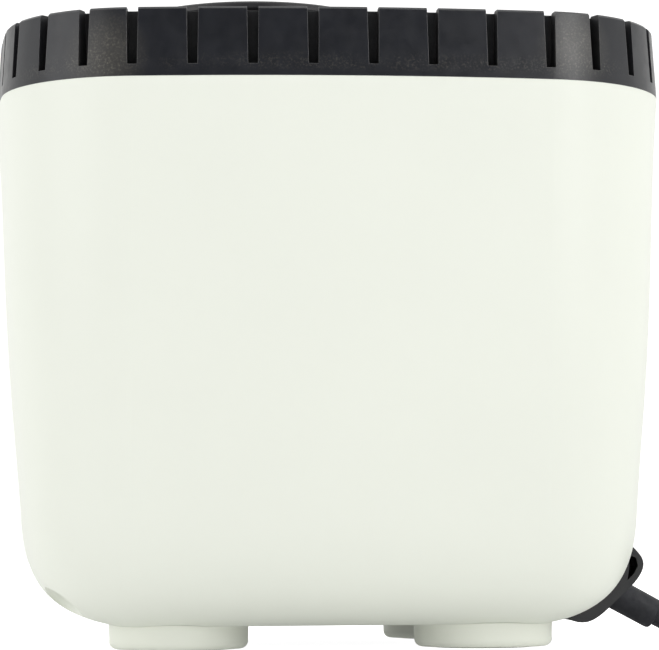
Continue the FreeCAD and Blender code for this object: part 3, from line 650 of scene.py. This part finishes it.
def make_tie():
    """Woven strap round the coil's turns, with a folded end standing off it."""
    low, high = (Vector(p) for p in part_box("cord_tie"))
    centre = (low + high) / 2
    half_y = (high.y - low.y) / 2
    half_z = (high.z - low.z) / 2
    place = Matrix.Translation(centre) @ Matrix.Rotation(math.radians(90), 4, "Y")
    wide = (high.x - low.x) / 2
    flat = wide - STRAP_EDGE
    profile = [(-wide, 0.25), (-flat, 0), (flat, 0), (wide, 0.25), (wide, 0.6), (flat, 0.8), (-flat, 0.8),
               (-wide, 0.6)]
    strap = skin([rounded(half_z - i * MM, half_y - i * MM, (STRAP_CORNER - i) * MM, x, place)
                  for x, i in profile], ring=True)
    tab = Matrix.Translation((centre.x, high.y - FOLD_BACK * MM, high.z - FOLD_DOWN * MM))
    fold = skin([rounded(wide * FOLD_WIDE - i * MM, (FOLD_HALF - i) * MM, 0.5 * MM, z * MM, tab)
                 for i, z in FOLD])
    return add_piece("cord_strap", [strap, fold], "base", "tie_black", "cord_tie")


def plug_place():
    """Place at the cord's end, whose local Z is level and runs on in the cord's direction."""
    before, end = (Vector(p) * MM for p in TAIL[-2:])
    axis = end - before
    turn = Matrix.Rotation(math.atan2(axis.y, axis.x), 4, "Z")
    return Matrix.Translation(end) @ turn @ Matrix.Rotation(math.radians(90), 4, "Y")


GROOVES = [2, 4.6, 7.2, 9.8]                # where the grooves of the plug's strain relief begin
GROOVE_DEEP = 0.6
RIDGES = [19 + 2.2 * i for i in range(6)]   # where the grooves of its grip begin
PLUG_NECK = [(12.6, 6, 6, 6), (13.4, 7.4, 8.2, 5.5), (15, 9.2, 10.9, 5.2), (17, 9.9, 12.1, 4.8)]
PLUG_FACE = [(33.4, 10, 12.5, 4.5), (34.4, 9.5, 12.0, 4.2), (35.2, 9.6, 12.2, 4.2), (35.8, 10, 13, 4.5),
             (40.2, 10, 13, 4.5), (40.8, 9.7, 12.7, 4.2), (41, 9.2, 12.2, 3.8)]


def make_plug():
    """Moulded plug: grooved strain relief, ribbed grip and a face with a raised rim."""
    place = plug_place()
    sections = [(0, 4.3, 4.3, 4.3)]     # distance, half sizes, corner radius
    for at in GROOVES:
        size = 4.5 + 0.1 * at
        floor = size - GROOVE_DEEP
        sections += [(at, size, size, size), (at + 0.3, floor, floor, floor),
                     (at + 1.0, floor, floor, floor), (at + 1.3, size, size, size)]
    sections += PLUG_NECK
    for at in RIDGES:
        sections += [(at, 10, 12.5, 4.5), (at + 0.4, 9.9, 11.9, 4.4), (at + 1.1, 9.9, 11.9, 4.4),
                     (at + 1.5, 10, 12.5, 4.5)]
    sections += PLUG_FACE
    loops = [rounded(a * MM, b * MM, min(r, a - 0.01) * MM, x * MM, place) for x, a, b, r in sections]
    return add_piece("plug_moulding", [skin(loops)], "base", "plug_black", "plug_body")


BLADE = [(40.5, 0), (56.2, 0), (57.4, 0.25), (58, 0.55)]                        # distance, inset
BLADE_HALF = (3.15, 0.75)
EARTH_PIN = [(40.5, 2.4), (57.6, 2.4), (58.8, 2.1), (59.6, 1.5), (60, 0.6)]     # distance, radius
BLADE_AT = (-1.95, 6.35)        # from the plug's middle, one on each side
EARTH_AT = 5.2


def make_pins():
    """Two flat blades with chamfered tips and a round earth pin with a domed one."""
    place = plug_place()
    wide, thick = BLADE_HALF
    parts = []
    for side in (-1, 1):
        shift = place @ Matrix.Translation((BLADE_AT[0] * MM, side * BLADE_AT[1] * MM, 0))
        parts.append(skin([rounded((wide - i) * MM, (thick - i) * MM, 0.18 * MM, x * MM, shift, 4)
                           for x, i in BLADE]))
    shift = place @ Matrix.Translation((EARTH_AT * MM, 0, 0))
    parts.append(skin([circle(r * MM, x * MM, 32, shift) for x, r in EARTH_PIN]))
    return add_piece("plug_contacts", parts, "base", "pin_brass", "plug_pins")


ON_CORD = [make_plug(), make_pins(), make_tie(), make_boot()]


# ---------------------------------------------------------------- tank level marks
LEVELS = [50, 59, 68, 77, 86, 95, 104]      # mm above the tank's lowest point
LONG_HALF = 9
SHORT_HALF = 5
LEVELS_Y = 30
RIM_WIDE = 13.95        # from the rim's edge to the wall


def make_level_marks():
    """Raised level lines pressed into the tank's rear wall, long ones at the lowest and highest level."""
    low, high = (Vector(p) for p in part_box("water_tank"))
    wall = high.x - RIM_WIDE * MM
    parts = []
    for level in LEVELS:
        half = (LONG_HALF if level in (LEVELS[0], LEVELS[-1]) else SHORT_HALF) * MM
        place = Matrix.Translation((wall, LEVELS_Y * MM, low.z + level * MM))
        place = place @ Matrix.Rotation(math.radians(90), 4, "Y")
        parts.append(skin([rounded(0.5 * MM, half, 0.45 * MM, x * MM, place) for x in (0.4, -0.25)]))
    add_piece("level_marks", parts, "base", "tank_steel")


make_level_marks()


# ---------------------------------------------------------------- stage and light
BACKDROP = 1.2          # strength of the white that the camera sees
FLOOR_GLOW = 0.93       # light that the floor gives off towards the camera
FLOOR_BOUNCE = 0.115    # and towards the object
ROOM_FRONT = 0.03       # light of the room in front of the object
ROOM_SIDE = 1.0         # and at its sides and behind it
ROOM_FADE = (-0.85, -0.4)       # directions, as Y of a unit vector, between which it grows
ROOM_TINT = (1.0, 1.0, 0.98, 1)
BOX_AIM = (0, 0, 0.12)
SOFT_BOXES = {          # place, size, power
    "left_box": ((-1.35, -0.8, 0.6), (1.3, 1.0), 5.0),
    "right_box": ((0.96, -1.2, 0.66), (0.45, 0.8), 6.5),
    "front_box": ((-0.1, -2.2, 0.12), (1.6, 0.2), 2.6),
    "top_box": ((0, 0.3, 1.5), (1.4, 1.4), 2.0),
}


def camera_only(tree, seen, unseen):
    """Blend of two closures: one for what the camera sees directly, one for everything else."""
    path = tree.nodes.new("ShaderNodeLightPath")
    mix = tree.nodes.new("ShaderNodeMixShader")
    tree.links.new(path.outputs["Is Camera Ray"], mix.inputs["Fac"])
    tree.links.new(unseen, mix.inputs[1])
    tree.links.new(seen, mix.inputs[2])
    return mix.outputs["Shader"]


def make_stage():
    """White floor that glows for the camera and hardly lights the object."""
    bpy.ops.mesh.primitive_plane_add(size=30, location=(0, 0, 0))
    floor = bpy.context.object
    floor.name = "floor"
    s = Shader("floor_white")
    s.colour(s.ramp(s.noise(0.4, 2), [(0.78, 0.78, 0.78), (0.82, 0.82, 0.82)]))
    s.set(Roughness=0.9, Specular_IOR_Level=0.1)
    lit = []
    for strength in (FLOOR_GLOW, FLOOR_BOUNCE):
        glow = s.node("ShaderNodeEmission")
        glow.inputs["Strength"].default_value = strength
        both = s.node("ShaderNodeAddShader")
        s.link(glow.outputs["Emission"], both.inputs[0])
        s.link(s.shader.outputs["BSDF"], both.inputs[1])
        lit.append(both.outputs["Shader"])
    s.link(camera_only(s.tree, *lit), s.tree.nodes["Material Output"].inputs["Surface"])
    floor.data.materials.append(s.material)


def softbox(name, place, size, power):
    """Rectangular lamp turned towards the object."""
    data = bpy.data.lights.new(name, "AREA")
    data.shape = "RECTANGLE"
    data.size, data.size_y = size
    data.energy = power
    lamp = bpy.data.objects.new(name, data)
    lamp.location = place
    lamp.rotation_euler = (Vector(BOX_AIM) - Vector(place)).to_track_quat("-Z", "Y").to_euler()
    bpy.context.scene.collection.objects.link(lamp)


def make_light():
    """White surround for the camera, one that is dark in front for the object, and soft boxes round it."""
    world = bpy.data.worlds.new("studio")
    bpy.context.scene.world = world
    world.use_nodes = True
    tree = world.node_tree
    dim = tree.nodes["Background"]
    dim.inputs["Color"].default_value = ROOM_TINT
    place = tree.nodes.new("ShaderNodeTexCoord")
    split = tree.nodes.new("ShaderNodeSeparateXYZ")
    fade = tree.nodes.new("ShaderNodeMapRange")
    fade.inputs["From Min"].default_value = ROOM_FADE[0]
    fade.inputs["From Max"].default_value = ROOM_FADE[1]
    fade.inputs["To Min"].default_value = ROOM_FRONT
    fade.inputs["To Max"].default_value = ROOM_SIDE
    tree.links.new(place.outputs["Generated"], split.inputs["Vector"])
    tree.links.new(split.outputs["Y"], fade.inputs["Value"])
    tree.links.new(fade.outputs["Result"], dim.inputs["Strength"])
    bright = tree.nodes.new("ShaderNodeBackground")
    bright.inputs["Color"].default_value = (1, 1, 1, 1)
    bright.inputs["Strength"].default_value = BACKDROP
    shown = camera_only(tree, bright.outputs["Background"], dim.outputs["Background"])
    tree.links.new(shown, tree.nodes["World Output"].inputs["Surface"])
    for name, (at, size, power) in SOFT_BOXES.items():
        softbox(name, at, size, power)


make_stage()
make_light()
bpy.context.scene.view_settings.view_transform = "Standard"

bpy.context.view_layer.update()
